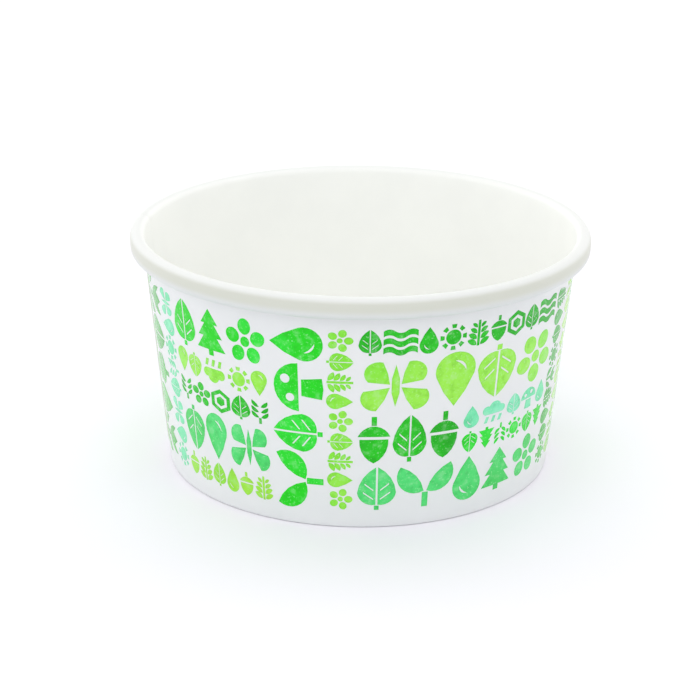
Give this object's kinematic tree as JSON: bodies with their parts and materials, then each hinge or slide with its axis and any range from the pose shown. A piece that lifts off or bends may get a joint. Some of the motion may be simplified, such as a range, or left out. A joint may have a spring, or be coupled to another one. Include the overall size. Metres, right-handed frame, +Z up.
{
  "type": "paper dessert cup",
  "caption": "Round paper dessert cup with a sloping side wall, a rolled rim for a lid, a lapped side seam and a raised base.",
  "frame": {"origin": "centre of the circle that the foot stands on, at table level", "axes": "+Z up along the cup's axis, -Y towards the front of the picture, side seam near -X"},
  "size_m": [0.095, 0.095, 0.05],
  "materials": {
    "wall_board": "coated board, satin, printed outside in greens and plain inside",
    "base_board": "coated board, satin, unprinted"
  },
  "bodies": {
    "root": {"side_wall": "wall_board", "base": "base_board"}
  },
  "joints": []
}
